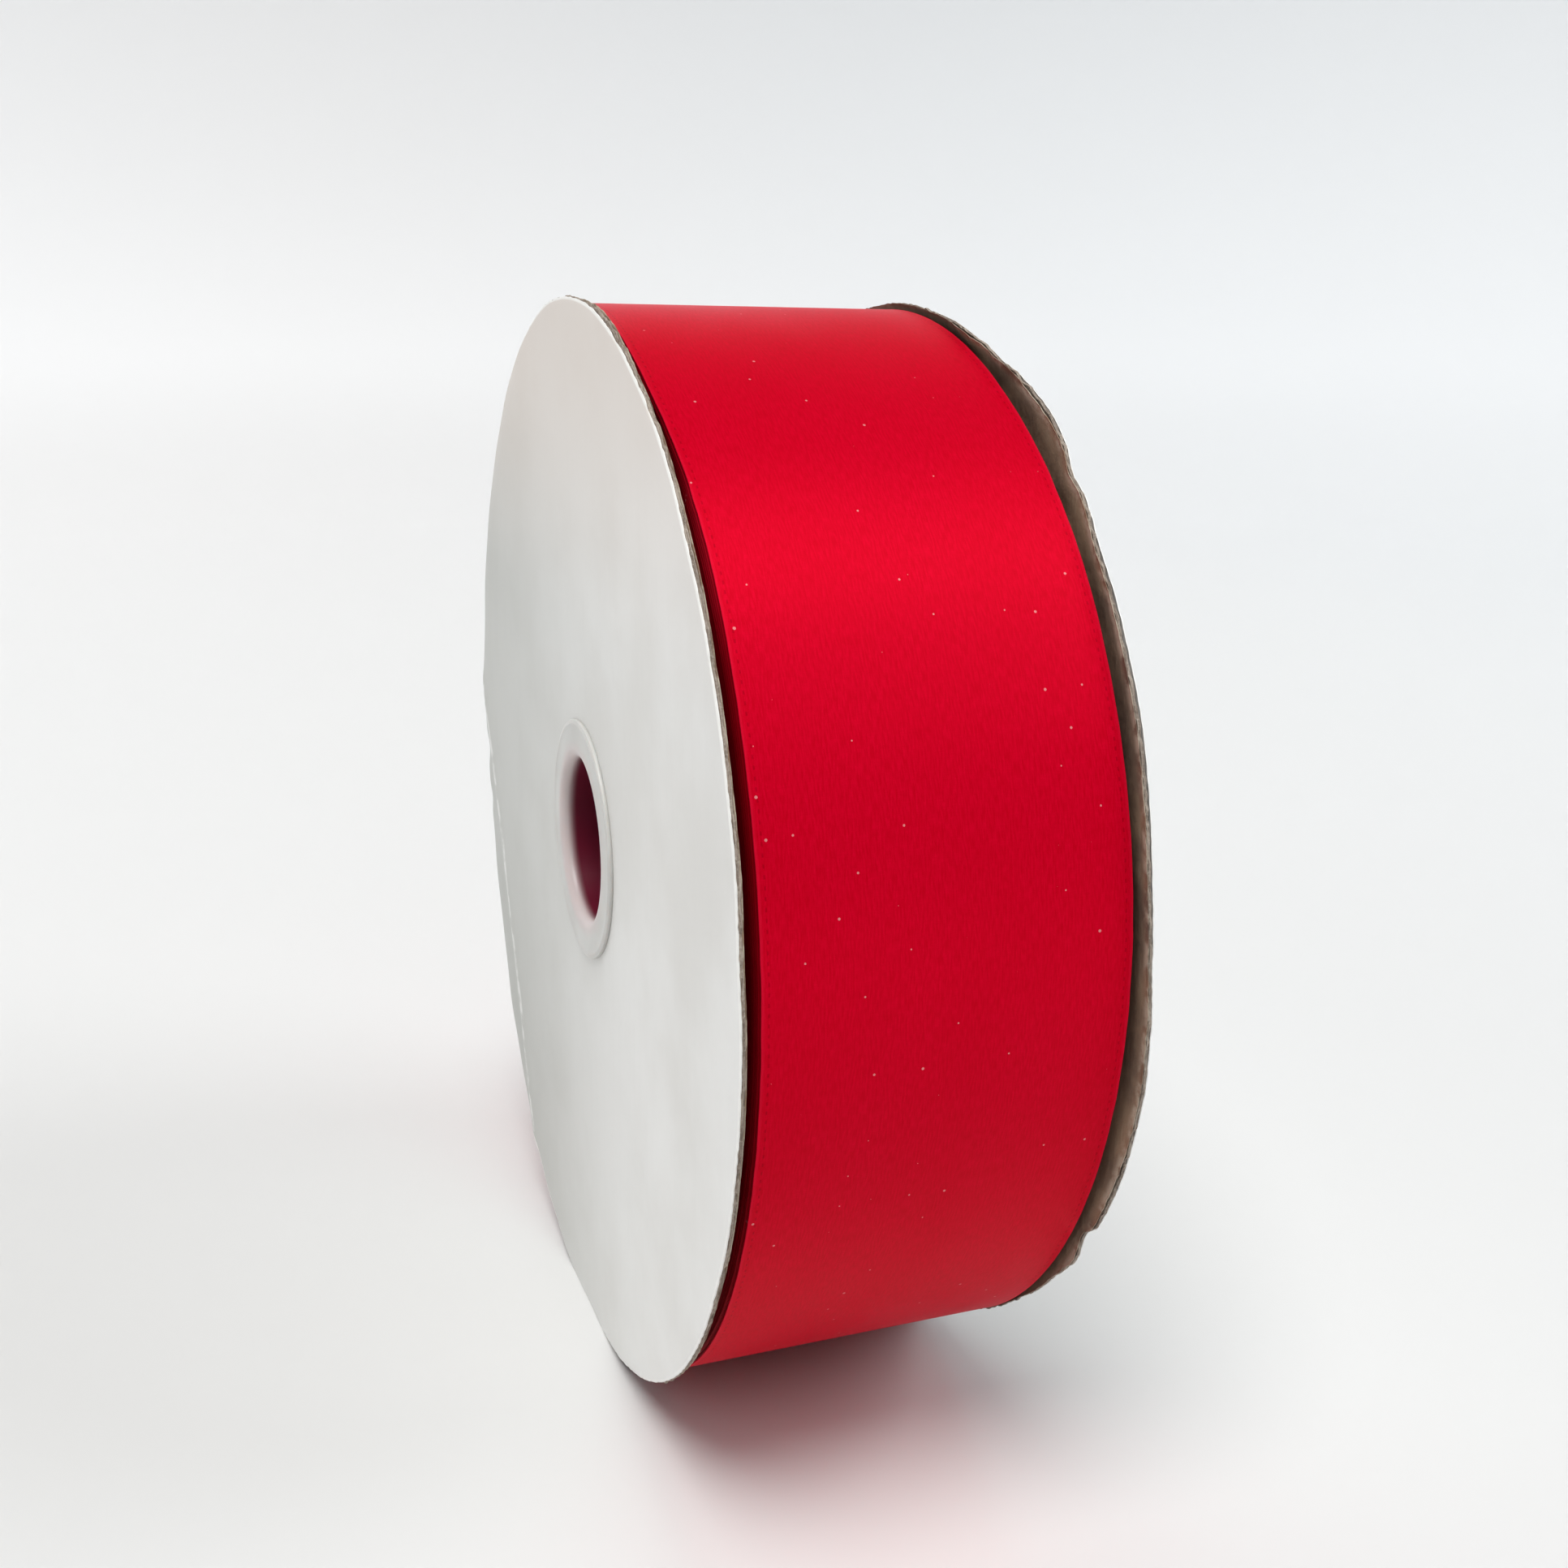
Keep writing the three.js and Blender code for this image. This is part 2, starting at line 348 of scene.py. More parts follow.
def make_flanges():
    """Six plies: white facing paper, grey board and kraft liner on each end."""
    board_depth = FACING + GLUE
    liner_depth = board_depth + BOARD + GLUE
    splits = {
        "front": (no_split, front_board_split, front_liner_split),
        "rear": (rear_facing_split, no_split, rear_liner_split),
    }
    for end in ("front", "rear"):
        facing_split, board_split, liner_split = splits[end]
        facing = ply(f"{end}_facing_sheet", end, 0, FACING, 1200, 0.07, 1, facing_split)
        board = ply(f"{end}_board_disc", end, board_depth, BOARD, 1400, 0.16, 2, board_split)
        liner = ply(f"{end}_liner_sheet", end, liner_depth, LINER, 900, 0.07, 3, liner_split)
        finish_piece(facing, f"{end}_facing_paper", "spool", coated_paper())
        finish_piece(board, f"{end}_board", "spool", chipboard())
        finish_piece(liner, f"{end}_liner", "spool", kraft_liner())


# ---------------------------------------------------------------- hub


def ring_outline():
    """Outline of a hub ring from the bore's mouth to its underside, rounded as moulded plastic is."""
    seat = RING_UNDERSIDE + 0.02
    mouth_round = 1.5
    mouth = arc((BORE_RADIUS + mouth_round, RING_PLANE - mouth_round), mouth_round, 180, 90, 9)
    crown = [(BORE_RADIUS + 2.6, RING_PLANE - 0.08), (RING_RADIUS - 2.0, RING_PLANE - 0.1)]
    bead = arc((RING_RADIUS - 0.7, RING_PLANE - 0.5), 0.5, 115, 50, 4)
    edge = arc((RING_RADIUS - 0.5, RING_PLANE - 0.45), 0.5, 35, -40, 6)
    return mouth + crown + bead + edge + [(RING_RADIUS - 0.35, seat), (COLLAR_RADIUS, seat)]


def front_hub_outline():
    """Ring, collar and the long tube with its snap bead, drawn with the ring at +Y."""
    tube = BORE_RADIUS + WALL
    reach = -TUBE_END
    bead = -BEAD_OFFSET
    return ring_outline() + [
        (COLLAR_RADIUS, COLLAR_END + 0.2),
        (COLLAR_RADIUS - 0.2, COLLAR_END),
        (tube + 0.3, COLLAR_END),
        (tube, COLLAR_END - 0.3),
        (tube, bead + 0.6),
        (tube + 0.32, bead + 0.25),
        (tube + 0.4, bead),
        (tube + 0.32, bead - 0.25),
        (tube, bead - 0.6),
        (tube, reach + 0.6),
        (tube - 0.55, reach),
        (BORE_RADIUS + 0.15, reach),
        (BORE_RADIUS, reach + 0.2),
    ]


def rear_hub_outline():
    """Ring, narrow mouth and the sleeve that takes the tube, with a groove for the snap bead."""
    inner = BORE_RADIUS + WALL + SLIDE_GAP
    mouth = -SLEEVE_END
    return ring_outline() + [
        (COLLAR_RADIUS, mouth + 0.2),
        (COLLAR_RADIUS - 0.2, mouth),
        (inner + 0.3, mouth),
        (inner, mouth + 0.3),
        (inner, BEAD_OFFSET - 1.0),
        (inner + 0.45, BEAD_OFFSET - 0.5),
        (inner + 0.45, BEAD_OFFSET + 0.5),
        (inner, BEAD_OFFSET + 1.0),
        (inner, SHOULDER),
        (BORE_RADIUS + 0.2, SHOULDER),
        (BORE_RADIUS, SHOULDER + 0.2),
    ]


def cut_finger_slots(hub):
    """Two saw cuts across the end of the front tube leave four snap fingers."""
    half = Vector((30, SLOT_LENGTH / 2, SLOT_WIDTH / 2)) * MM
    corners = [(x * half.x, y * half.y, z * half.z) for x in (-1, 1) for y in (-1, 1) for z in (-1, 1)]
    faces = [(0, 1, 3, 2), (4, 6, 7, 5), (0, 4, 5, 1), (2, 3, 7, 6), (0, 2, 6, 4), (1, 5, 7, 3)]
    for turn in (45, 135):
        blade_mesh = bpy.data.meshes.new("blade")
        blade_mesh.from_pydata(corners, [], faces)
        blade = bpy.data.objects.new("blade", blade_mesh)
        blade.location = (0, (TUBE_END - SLOT_LENGTH / 2 + 0.5) * MM, 0)
        blade.rotation_euler = (0, math.radians(turn), 0)
        bpy.context.scene.collection.objects.link(blade)
        cutter = hub.modifiers.new("slots", "BOOLEAN")
        cutter.operation = "DIFFERENCE"
        cutter.solver = "EXACT"
        cutter.object = blade
        bpy.context.view_layer.update()
        cut_mesh = bpy.data.meshes.new_from_object(hub.evaluated_get(bpy.context.evaluated_depsgraph_get()))
        hub.modifiers.clear()
        hub.data = cut_mesh
        bpy.data.objects.remove(blade)
    hub.data.set_sharp_from_angle(angle=math.radians(40))


def make_hub():
    """Both hub halves. The front one is drawn with its ring at +Y, like the rear one, and mirrored."""
    front = turned("front_hub_moulding", [(r, -y) for r, y in front_hub_outline()], 160)
    cut_finger_slots(front)
    rear = turned("rear_hub_moulding", rear_hub_outline(), 160)
    finish_piece(front, "front_hub", "spool", hub_plastic())
    finish_piece(rear, "rear_hub", "spool", hub_plastic())


# ---------------------------------------------------------------- ribbon


def wound_radius(travelled):
    """Top of the outermost turn, from how far round from the free end it is, in radians."""
    return TIP_RADIUS - TURN_THICKNESS * travelled / TURN


def wander(angle, across):
    """How far the outermost turn strays from the middle of the roll, in millimetres along the bore.
    Near the top its front edge also spreads towards the front flange. The knots at 35, 48 and 61 degrees
    follow a scratch script's measurement of the ribbon's edges in the photo."""
    knots = [
        (-60, 0.1), (-20, 0.12), (10, 0.12), (35, 0), (48, -0.22), (61, -0.5), (82, -0.55),
        (115, -0.2), (150, 0),
    ]
    spread = 0.75 * near(angle, 66, 24) * (1 - across / RIBBON_HALF) / 2
    return around(angle, knots) - spread + 0.03 * ripple(angle, 40, 130, 18)


def taper(angle, across):
    """How much higher the roll is towards the front flange than at the rear one, in millimetres."""
    return (0.3 + 0.4 * near(angle, 84, 45)) * (1 - across / RIBBON_HALF) / 2


def ribbon_strip(name, start, stop, along_steps, frayed_start):
    """A length of ribbon lying on the roll, from one travelled angle to another, counted from the free end.
    Its strip attribute holds millimetres along the ribbon and across it, and 0 for its face."""
    thickness = TURN_THICKNESS - 0.01
    across = RIBBON_HALF * np.sin(np.linspace(-math.pi / 2, math.pi / 2, 33))
    travelled = np.linspace(start, stop, along_steps)[:, None]
    angle = TIP_ANGLE - travelled
    sag = 0.02 * ripple(angle, 3, 24, 91) * np.cos(across / RIBBON_HALF * math.pi / 2)[None, :]
    selvedge = 0.03 * np.exp(-(((RIBBON_HALF - np.abs(across)) / 0.5) ** 2))[None, :]
    if frayed_start:
        fray = np.random.default_rng(4).normal(0, 0.12, across.shape)
        angle = angle + np.where(travelled == start, fray[None, :] / PACK_RADIUS, 0)
    top = wound_radius(travelled) + sag + selvedge + taper(angle, across[None, :]) - 0.02
    y = RIBBON_MIDDLE + across[None, :] + wander(angle, across[None, :])
    upper = polar(angle, top, y)
    lower = polar(angle, top - thickness, y)[:, ::-1]
    points = np.concatenate([upper, lower], axis=1).reshape(-1, 3)
    length = np.broadcast_to(travelled * PACK_RADIUS, top.shape)
    width = np.broadcast_to(across[None, :], top.shape)
    strip = np.stack([length, width, 0 * width], axis=-1)
    strip = np.concatenate([strip, strip[:, ::-1]], axis=1).reshape(-1, 3)
    faces = band_faces(along_steps, len(across), flip=False)
    return mesh_object(name, points, faces, smooth_angle=50, attributes={"strip": strip})


def make_pack():
    """The buried turns as one solid, with the edge of each outer turn standing out by its own amount.
    The third number of its strip attribute is 1, which marks cut edges: the satin darkens them, partly as
    painted shade for the gap beside the flanges."""
    edge_turns = 16
    steps = 480
    top_turn = wound_radius(TURN) - TURN_THICKNESS
    angle = np.linspace(0, TURN, steps, endpoint=False)[:, None]
    travelled = (TIP_ANGLE - angle) % TURN
    side_radius, front_y, rear_y = [], [], []
    for turn in range(edge_turns):
        outer = top_turn - TURN_THICKNESS * turn
        place = turn + travelled / TURN
        shift = 0.12 * np.sin(1.7 * place + 0.6) + 0.08 * np.sin(4.3 * place) + 0.05 * np.sin(11.1 * place)
        fade = 1 - turn / edge_turns
        for share, drop in ((0.08, 0.05), (0.5, 0.0), (0.92, 0.05)):
            side_radius.append(outer - share * TURN_THICKNESS + 0 * angle)
            front_y.append(shift + fade * wander(angle, -RIBBON_HALF) - drop)
            rear_y.append(shift + fade * wander(angle, RIBBON_HALF) - drop)
    deep = top_turn - TURN_THICKNESS * edge_turns
    for radius in np.linspace(deep - 0.3, FLANGE_HOLE + 0.05, 18):
        side_radius.append(radius + 0 * angle)
        deep_y = 0.04 * ripple(angle + radius, 2, 9, 29) - 0.1
        front_y.append(deep_y)
        rear_y.append(deep_y)
    side_radius = np.concatenate(side_radius, axis=1)
    half = RIBBON_HALF - 0.1  # the limits below keep the edges clear of both flanges
    y_front = RIBBON_MIDDLE - half + np.clip(np.concatenate(front_y, axis=1), -1.5, 0.3)
    y_rear = RIBBON_MIDDLE + half + np.clip(np.concatenate(rear_y, axis=1), -0.9, 0.12)
    front_radius = side_radius + taper(angle, -RIBBON_HALF)
    rear_radius = side_radius + taper(angle, RIBBON_HALF)
    radius = np.concatenate([front_radius[:, ::-1], rear_radius], axis=1)
    y = np.concatenate([y_front[:, ::-1], y_rear], axis=1)
    points = polar(angle, radius, y).reshape(-1, 3)
    faces = grid_faces(steps, radius.shape[1], True, True, flip=True)
    length = np.broadcast_to(travelled * PACK_RADIUS, radius.shape)
    strip = np.stack([length, y, 1 + 0 * y], axis=-1).reshape(-1, 3)
    pack = mesh_object("wound_ribbon", points, faces, smooth_angle=35, attributes={"strip": strip})
    finish_piece(pack, "ribbon_pack", "spool", satin())
    return pack


def make_ribbon():
    """The roll, its outermost turn, and the free end that bends up from the line where it is peeled."""
    pack = make_pack()
    root = TIP_ANGLE - ROOT_ANGLE
    outer = ribbon_strip("ribbon_outer_turn", root, root + TURN, 760, frayed_start=False)
    outer.data.materials.append(satin())
    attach(outer, "spool")
    tail = ribbon_strip("ribbon_free_end", 0, root, 190, frayed_start=True)
    tail.data.materials.append(satin())
    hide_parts("ribbon_tail")
    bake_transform(tail)


def make_end_tape():
    """Clear tape over the free end: it lies on the tail, drops off its cut edge and sticks to the turn
    below. Both of its own ends have the saw-tooth cut of a dispenser."""
    half_width = 9.5
    thickness = 0.05
    reach = 15.5  # each way from the cut edge
    clear = 0.03
    drop_length = 0.9
    tooth = 1.1
    tooth_depth = 0.55
    across = np.linspace(-half_width, half_width, 70)
    along = np.linspace(-1, 1, 61)
    saw = tooth_depth * 2 * np.abs((across / tooth) % 1 - 0.5)
    run = along[:, None] * (reach - saw[None, :])
    travelled = run / PACK_RADIUS
    angle = TIP_ANGLE - travelled
    on_tail = wound_radius(travelled)
    on_turn = wound_radius(TURN + travelled)
    seat = np.where(run > 0, on_tail, on_tail + (on_turn - on_tail) * smooth(-run / drop_length))
    creases = 0.02 * np.sin(across[None, :] * 1.9 + run * 0.7) * smooth(1 - np.abs(run) / 6)
    top = seat + clear + thickness + creases + taper(angle, across[None, :])
    y = RIBBON_MIDDLE + across[None, :] + 0.02 * run
    upper = polar(angle, top, y)
    lower = polar(angle, top - thickness, y)[:, ::-1]
    points = np.concatenate([upper, lower], axis=1).reshape(-1, 3)
    faces = band_faces(len(along), len(across), flip=True)
    tape = mesh_object("end_tape_film", points, faces, smooth_angle=50)
    finish_piece(tape, "end_tape", "tail", tape_film())


# ---------------------------------------------------------------- materials


class Shader:
    """A material whose nodes are added and linked by short calls."""

    def __init__(self, name, **constants):
        self.material = bpy.data.materials.new(name)
        self.material.use_nodes = True
        self.tree = self.material.node_tree
        self.tree.nodes.clear()
        self.surface = self.add("ShaderNodeBsdfPrincipled")
        output = self.add("ShaderNodeOutputMaterial")
        self.tree.links.new(self.surface.outputs["BSDF"], output.inputs["Surface"])
        for key, value in constants.items():
            self.surface.inputs[key.replace("_", " ")].default_value = value

    def add(self, kind, **settings):
        node = self.tree.nodes.new(kind)
        for key, value in settings.items():
            setattr(node, key, value)
        return node

    def put(self, socket, value):
        """Links a node's output to a socket, or sets the socket's constant."""
        if isinstance(value, bpy.types.NodeSocket):
            self.tree.links.new(value, socket)
        else:
            socket.default_value = value

    def place(self):
        """Object coordinates, in metres."""
        return self.add("ShaderNodeTexCoord").outputs["Object"]

    def strip(self):
        """Millimetres along and across the ribbon."""
        return self.add("ShaderNodeAttribute", attribute_name="strip").outputs["Vector"]

    def scaled(self, vector, scale):
        node = self.add("ShaderNodeVectorMath", operation="MULTIPLY")
        self.put(node.inputs[0], vector)
        self.put(node.inputs[1], scale)
        return node.outputs["Vector"]

    def parts(self, vector):
        node = self.add("ShaderNodeSeparateXYZ")
        self.put(node.inputs[0], vector)
        return node.outputs

    def length(self, x, z):
        """Distance from the bore's axis."""
        node = self.add("ShaderNodeCombineXYZ")
        self.put(node.inputs[0], x)
        self.put(node.inputs[2], z)
        size = self.add("ShaderNodeVectorMath", operation="LENGTH")
        self.put(size.inputs[0], node.outputs[0])
        return size.outputs["Value"]

    def noise(self, vector, scale, detail=3.0, roughness=0.5):
        node = self.add("ShaderNodeTexNoise")
        self.put(node.inputs["Vector"], vector)
        self.put(node.inputs["Scale"], scale)
        self.put(node.inputs["Detail"], detail)
        self.put(node.inputs["Roughness"], roughness)
        return node.outputs["Fac"]

    def cells(self, vector, scale, dimensions="3D"):
        node = self.add("ShaderNodeTexVoronoi", voronoi_dimensions=dimensions)
        self.put(node.inputs["Vector"], vector)
        self.put(node.inputs["Scale"], scale)
        return node.outputs

    def math(self, operation, a, b=0.0, clamp=False):
        node = self.add("ShaderNodeMath", operation=operation, use_clamp=clamp)
        self.put(node.inputs[0], a)
        self.put(node.inputs[1], b)
        return node.outputs[0]

    def band(self, value, low, high, to_low=0.0, to_high=1.0):
        """Maps low..high smoothly to to_low..to_high, flat outside."""
        node = self.add("ShaderNodeMapRange", interpolation_type="SMOOTHSTEP")
        for socket, x in zip(node.inputs, (value, low, high, to_low, to_high)):
            self.put(socket, x)
        return node.outputs[0]

    def mix(self, factor, a, b):
        node = self.add("ShaderNodeMix", data_type="RGBA")
        self.put(node.inputs[0], factor)
        self.put(node.inputs[6], a)
        self.put(node.inputs[7], b)
        return node.outputs[2]

    def bump(self, height, strength, distance):
        node = self.add("ShaderNodeBump")
        self.put(node.inputs["Height"], height)
        self.put(node.inputs["Strength"], strength)
        self.put(node.inputs["Distance"], distance)
        return node.outputs["Normal"]

    def set(self, socket, value):
        self.put(self.surface.inputs[socket], value)


def rgb(red, green, blue):
    return (red, green, blue, 1.0)


def once(maker):
    """Makes a material the first time it is asked for, and hands out the same one after that."""
    made = []

    def shared():
        if not made:
            made.append(maker())
        return made[0]

    return shared


@once
def satin():
    """Red polyester satin: long warp floats along the ribbon, a fine weft rib across it, stitched
    selvedges, a few specks of dust, a painted highlight along both edges, and darker cut edges on
    the pack's sides that are partly painted shade."""
    s = Shader("red_satin", Metallic=0.155, Anisotropic=0.85, Specular_IOR_Level=0.045)
    s.set("Anisotropic Rotation", 0.25)
    s.set("Specular Tint", rgb(1.0, 0.25, 0.4))
    strip = s.strip()
    along, across, side = s.parts(strip)
    floats = s.noise(s.scaled(strip, (0.6, 4.4, 1.0)), 1.0, 3.0, 0.55)
    weft = s.noise(s.scaled(strip, (5.2, 0.8, 1.0)), 1.0, 3.0, 0.55)
    clouds = s.noise(s.scaled(strip, (0.03, 0.06, 1.0)), 1.0, 2.0, 0.5)
    deep = rgb(0.575, 0.0003, 0.013)
    bright = rgb(0.69, 0.0010, 0.023)
    colour = s.mix(s.band(floats, 0.3, 0.7), deep, bright)
    colour = s.mix(s.band(weft, 0.35, 0.7, 0.0, 0.3), colour, rgb(0.56, 0.0003, 0.010))
    colour = s.mix(s.band(clouds, 0.35, 0.7, 0.0, 0.15), colour, rgb(0.56, 0.0003, 0.009))
    edge = s.math("SUBTRACT", RIBBON_HALF, s.math("ABSOLUTE", across))
    stitch_inset, stitch_length = 0.95, 1.25
    stitch_line = s.band(s.math("ABSOLUTE", s.math("SUBTRACT", edge, stitch_inset)), 0.05, 0.17, 1.0, 0.0)
    stitch_dots = s.band(s.math("SINE", s.math("MULTIPLY", along, TURN / stitch_length)), 0.1, 0.6)
    stitches = s.math("MULTIPLY", stitch_line, stitch_dots)
    colour = s.mix(s.math("MULTIPLY", stitches, 0.45), colour, rgb(0.28, 0.0002, 0.006))
    # Painted highlight along both edges of the ribbon.
    colour = s.mix(s.band(edge, 0.15, 0.5, 0.3, 0.0), colour, rgb(0.80, 0.012, 0.05))
    dust = s.cells(strip, 0.2, "2D")
    speck_size = s.math("MULTIPLY", s.parts(dust["Color"])[0], 0.15)
    specks = s.math("LESS_THAN", dust["Distance"], s.math("SUBTRACT", speck_size, 0.11))
    colour = s.mix(s.math("MULTIPLY", specks, 0.55), colour, rgb(0.9, 0.42, 0.42))
    # Darker cut edges on the pack's sides, partly painted shade for the gap beside the flanges.
    colour = s.mix(s.math("MULTIPLY", side, 0.8), colour, rgb(0.16, 0.0002, 0.003))
    s.set("Base Color", colour)
    s.set("Roughness", s.band(clouds, 0.3, 0.7, 0.4, 0.45))
    ribs = s.math("ADD", s.math("MULTIPLY", floats, 0.5), s.math("MULTIPLY", weft, 0.5))
    height = s.math("ADD", ribs, s.math("MULTIPLY", stitches, -0.8))
    s.set("Normal", s.bump(height, 0.35, 0.00004))
    tangent = s.add("ShaderNodeTangent", direction_type="RADIAL", axis="Y")
    s.set("Tangent", tangent.outputs[0])
    return s.material


@once
def coated_paper():
    """White clay-coated facing: mottled and faintly streaked, warmer and darker towards the top, with
    painted shade towards -X and the bottom and beyond the front flange's crease, a broken bright line
    along the crease that is cracks in the coating and partly a painted highlight, a few specks, and a bright
    cut edge that is partly a painted highlight."""
    s = Shader("coated_paper", Coat_Weight=0.12, Coat_Roughness=0.22)
    place = s.place()
    x, y, z = s.parts(place)
    radius = s.length(x, z)
    mottle = s.noise(place, 22.0, 4.0, 0.55)
    streaks = s.noise(s.scaled(place, (700.0, 60.0, 14.0)), 1.0, 2.0, 0.5)
    fibres = s.noise(s.scaled(place, (2600.0, 900.0, 700.0)), 1.0, 3.0, 0.6)
    colour = s.mix(s.band(mottle, 0.35, 0.7), rgb(0.88, 0.875, 0.855), rgb(0.785, 0.77, 0.74))
    colour = s.mix(s.band(streaks, 0.45, 0.8, 0.0, 0.05), colour, rgb(0.66, 0.655, 0.64))
    colour = s.mix(s.band(fibres, 0.5, 0.85, 0.0, 0.08), colour, rgb(0.6, 0.58, 0.54))
    # Painted shade: the facing is darkened towards -X, and more so towards the bottom.
    painted_shade_left = s.band(x, -0.075, 0.055, 0.9, 0.0)
    low = s.band(z, -0.075, 0.0, 1.25, 1.0)
    colour = s.mix(s.math("MULTIPLY", painted_shade_left, low, clamp=True), colour, rgb(0.49, 0.495, 0.465))
    # Warmer and darker towards the top.
    warmer_top = s.band(z, 0.030, 0.078, 0.0, 0.85)
    colour = s.mix(warmer_top, colour, rgb(0.76, 0.675, 0.61))
    bent = math.radians(CREASE_FACES)
    towards = s.math("ADD", s.math("MULTIPLY", x, math.cos(bent)), s.math("MULTIPLY", z, math.sin(bent)))
    wobble_size = 0.004
    wobble = s.math("MULTIPLY", s.noise(place, 70.0, 2.0, 0.5), wobble_size)
    crease_start = CREASE_DISTANCE * MM + wobble_size / 2
    past_crease = s.math("SUBTRACT", s.math("ADD", towards, wobble), crease_start)
    front = s.band(y, -0.001, 0.001, 1.0, 0.0)
    # Painted shade on the bent part beyond the front flange's crease.
    painted_shade_past_crease = s.math("MULTIPLY", s.band(past_crease, 0.0002, 0.0014, 0.0, 0.45), front)
    colour = s.mix(painted_shade_past_crease, colour, rgb(0.42, 0.43, 0.40))
    chips = s.noise(place, 260.0, 3.0, 0.6)
    # A broken bright line along the crease: cracks in the coating, and partly a painted highlight.
    crease_line_and_highlight = s.band(s.math("ABSOLUTE", past_crease), 0.0003, 0.0012, 0.6, 0.0)
    crease_cracks_and_highlight = s.math("MULTIPLY", s.math("MULTIPLY", crease_line_and_highlight, s.band(chips, 0.4, 0.6)), front)
    colour = s.mix(crease_cracks_and_highlight, colour, rgb(0.95, 0.95, 0.93))
    specks = s.cells(place, 160.0)
    speck_size = s.math("MULTIPLY", s.parts(specks["Color"])[1], 0.03)
    dots = s.math("LESS_THAN", specks["Distance"], s.math("SUBTRACT", speck_size, 0.017))
    colour = s.mix(s.math("MULTIPLY", dots, 0.55), colour, rgb(0.35, 0.32, 0.28))
    # A bright band at the rim: the white cut edge, and partly a painted highlight where the edge catches the
    # light.
    rim = RIM_RADIUS * MM
    colour = s.mix(s.band(radius, rim - 0.0006, rim - 0.0003, 0.0, 0.9), colour, rgb(0.94, 0.93, 0.90))
    s.set("Base Color", colour)
    s.set("Roughness", s.band(mottle, 0.3, 0.7, 0.34, 0.5))
    height = s.math("ADD", mottle, s.math("MULTIPLY", fibres, 0.08))
    s.set("Normal", s.bump(height, 0.4, 0.0006))
    return s.material


@once
def chipboard():
    """Grey-brown recycled board: matted fibres, darker and lighter layers and torn light flecks."""
    s = Shader("chipboard", Roughness=0.93, Specular_IOR_Level=0.25)
    place = s.place()
    layers = s.noise(s.scaled(place, (260.0, 5200.0, 260.0)), 1.0, 3.0, 0.6)
    fibres = s.noise(place, 2400.0, 4.0, 0.65)
    patches = s.noise(place, 180.0, 3.0, 0.5)
    colour = s.mix(s.band(layers, 0.35, 0.65), rgb(0.20, 0.155, 0.125), rgb(0.43, 0.36, 0.30))
    colour = s.mix(s.band(fibres, 0.45, 0.75, 0.0, 0.55), colour, rgb(0.62, 0.56, 0.48))
    colour = s.mix(s.band(patches, 0.5, 0.75, 0.0, 0.45), colour, rgb(0.15, 0.12, 0.10))
    s.set("Base Color", colour)
    height = s.math("ADD", fibres, s.math("MULTIPLY", layers, 0.8))
    s.set("Normal", s.bump(height, 0.9, 0.00025))
    return s.material


@once
def kraft_liner():
    """Brown kraft on the ribbon's side: long fibres, darker stains, worn pale towards the rim."""
    s = Shader("kraft_liner", Roughness=0.72, Specular_IOR_Level=0.35)
    place = s.place()
    x, _, z = s.parts(place)
    radius = s.length(x, z)
    fibres = s.noise(s.scaled(place, (900.0, 900.0, 240.0)), 1.0, 4.0, 0.65)
    stains = s.noise(place, 75.0, 4.0, 0.55)
    scuffs = s.noise(place, 320.0, 4.0, 0.6)
    colour = s.mix(s.band(stains, 0.35, 0.68), rgb(0.29, 0.185, 0.12), rgb(0.13, 0.08, 0.058))
    colour = s.mix(s.band(fibres, 0.45, 0.8, 0.0, 0.4), colour, rgb(0.33, 0.235, 0.165))
    rim = RIM_RADIUS * MM
    wear = s.math("MULTIPLY", s.band(radius, rim - 0.0016, rim - 0.0003), s.band(scuffs, 0.42, 0.6))
    colour = s.mix(s.math("MULTIPLY", wear, 0.75), colour, rgb(0.52, 0.45, 0.35))
    s.set("Base Color", colour)
    height = s.math("ADD", fibres, s.math("MULTIPLY", scuffs, 1.5))
    s.set("Normal", s.bump(height, 0.5, 0.0003))
    return s.material


@once
def hub_plastic():
    """Milky polyethylene: the rings are pale with a painted pink glow at the bore's mouth, and the thin tube
    walls inside are painted dark red for shade and the ribbon's red light behind them, and let some light
    through.
    """
    s = Shader("hub_plastic", Roughness=0.32, IOR=1.4, Subsurface_Weight=0.4)
    place = s.place()
    flow = s.noise(s.scaled(place, (90.0, 260.0, 90.0)), 1.0, 3.0, 0.5)
    milky = s.mix(s.band(flow, 0.3, 0.7), rgb(0.70, 0.685, 0.655), rgb(0.63, 0.61, 0.58))
    x, y, z = s.parts(place)
    # Painted pink glow at the bore's mouth, standing in for the ribbon's red light through the plastic.
    lip = s.band(s.length(x, z), 0.0132, 0.0160, 0.35, 0.0)
    milky = s.mix(lip, milky, rgb(0.70, 0.50, 0.53))
    # Painted dark red on the inner walls, standing in for shade and the ribbon's red light; their
    # transmission is raised as well.
    inside = s.band(s.math("ABSOLUTE", y), (RING_PLANE - 2.6) * MM, (RING_PLANE - 0.9) * MM, 1.0, 0.0)
    s.set("Base Color", s.mix(inside, milky, rgb(0.30, 0.02, 0.06)))
    s.set("Transmission Weight", s.band(inside, 0.0, 1.0, 0.1, 0.55))
    s.set("Subsurface Scale", 0.002)
    s.set("Normal", s.bump(flow, 0.05, 0.0002))
    s.set("Subsurface Radius", (1.0, 0.7, 0.6))
    return s.material


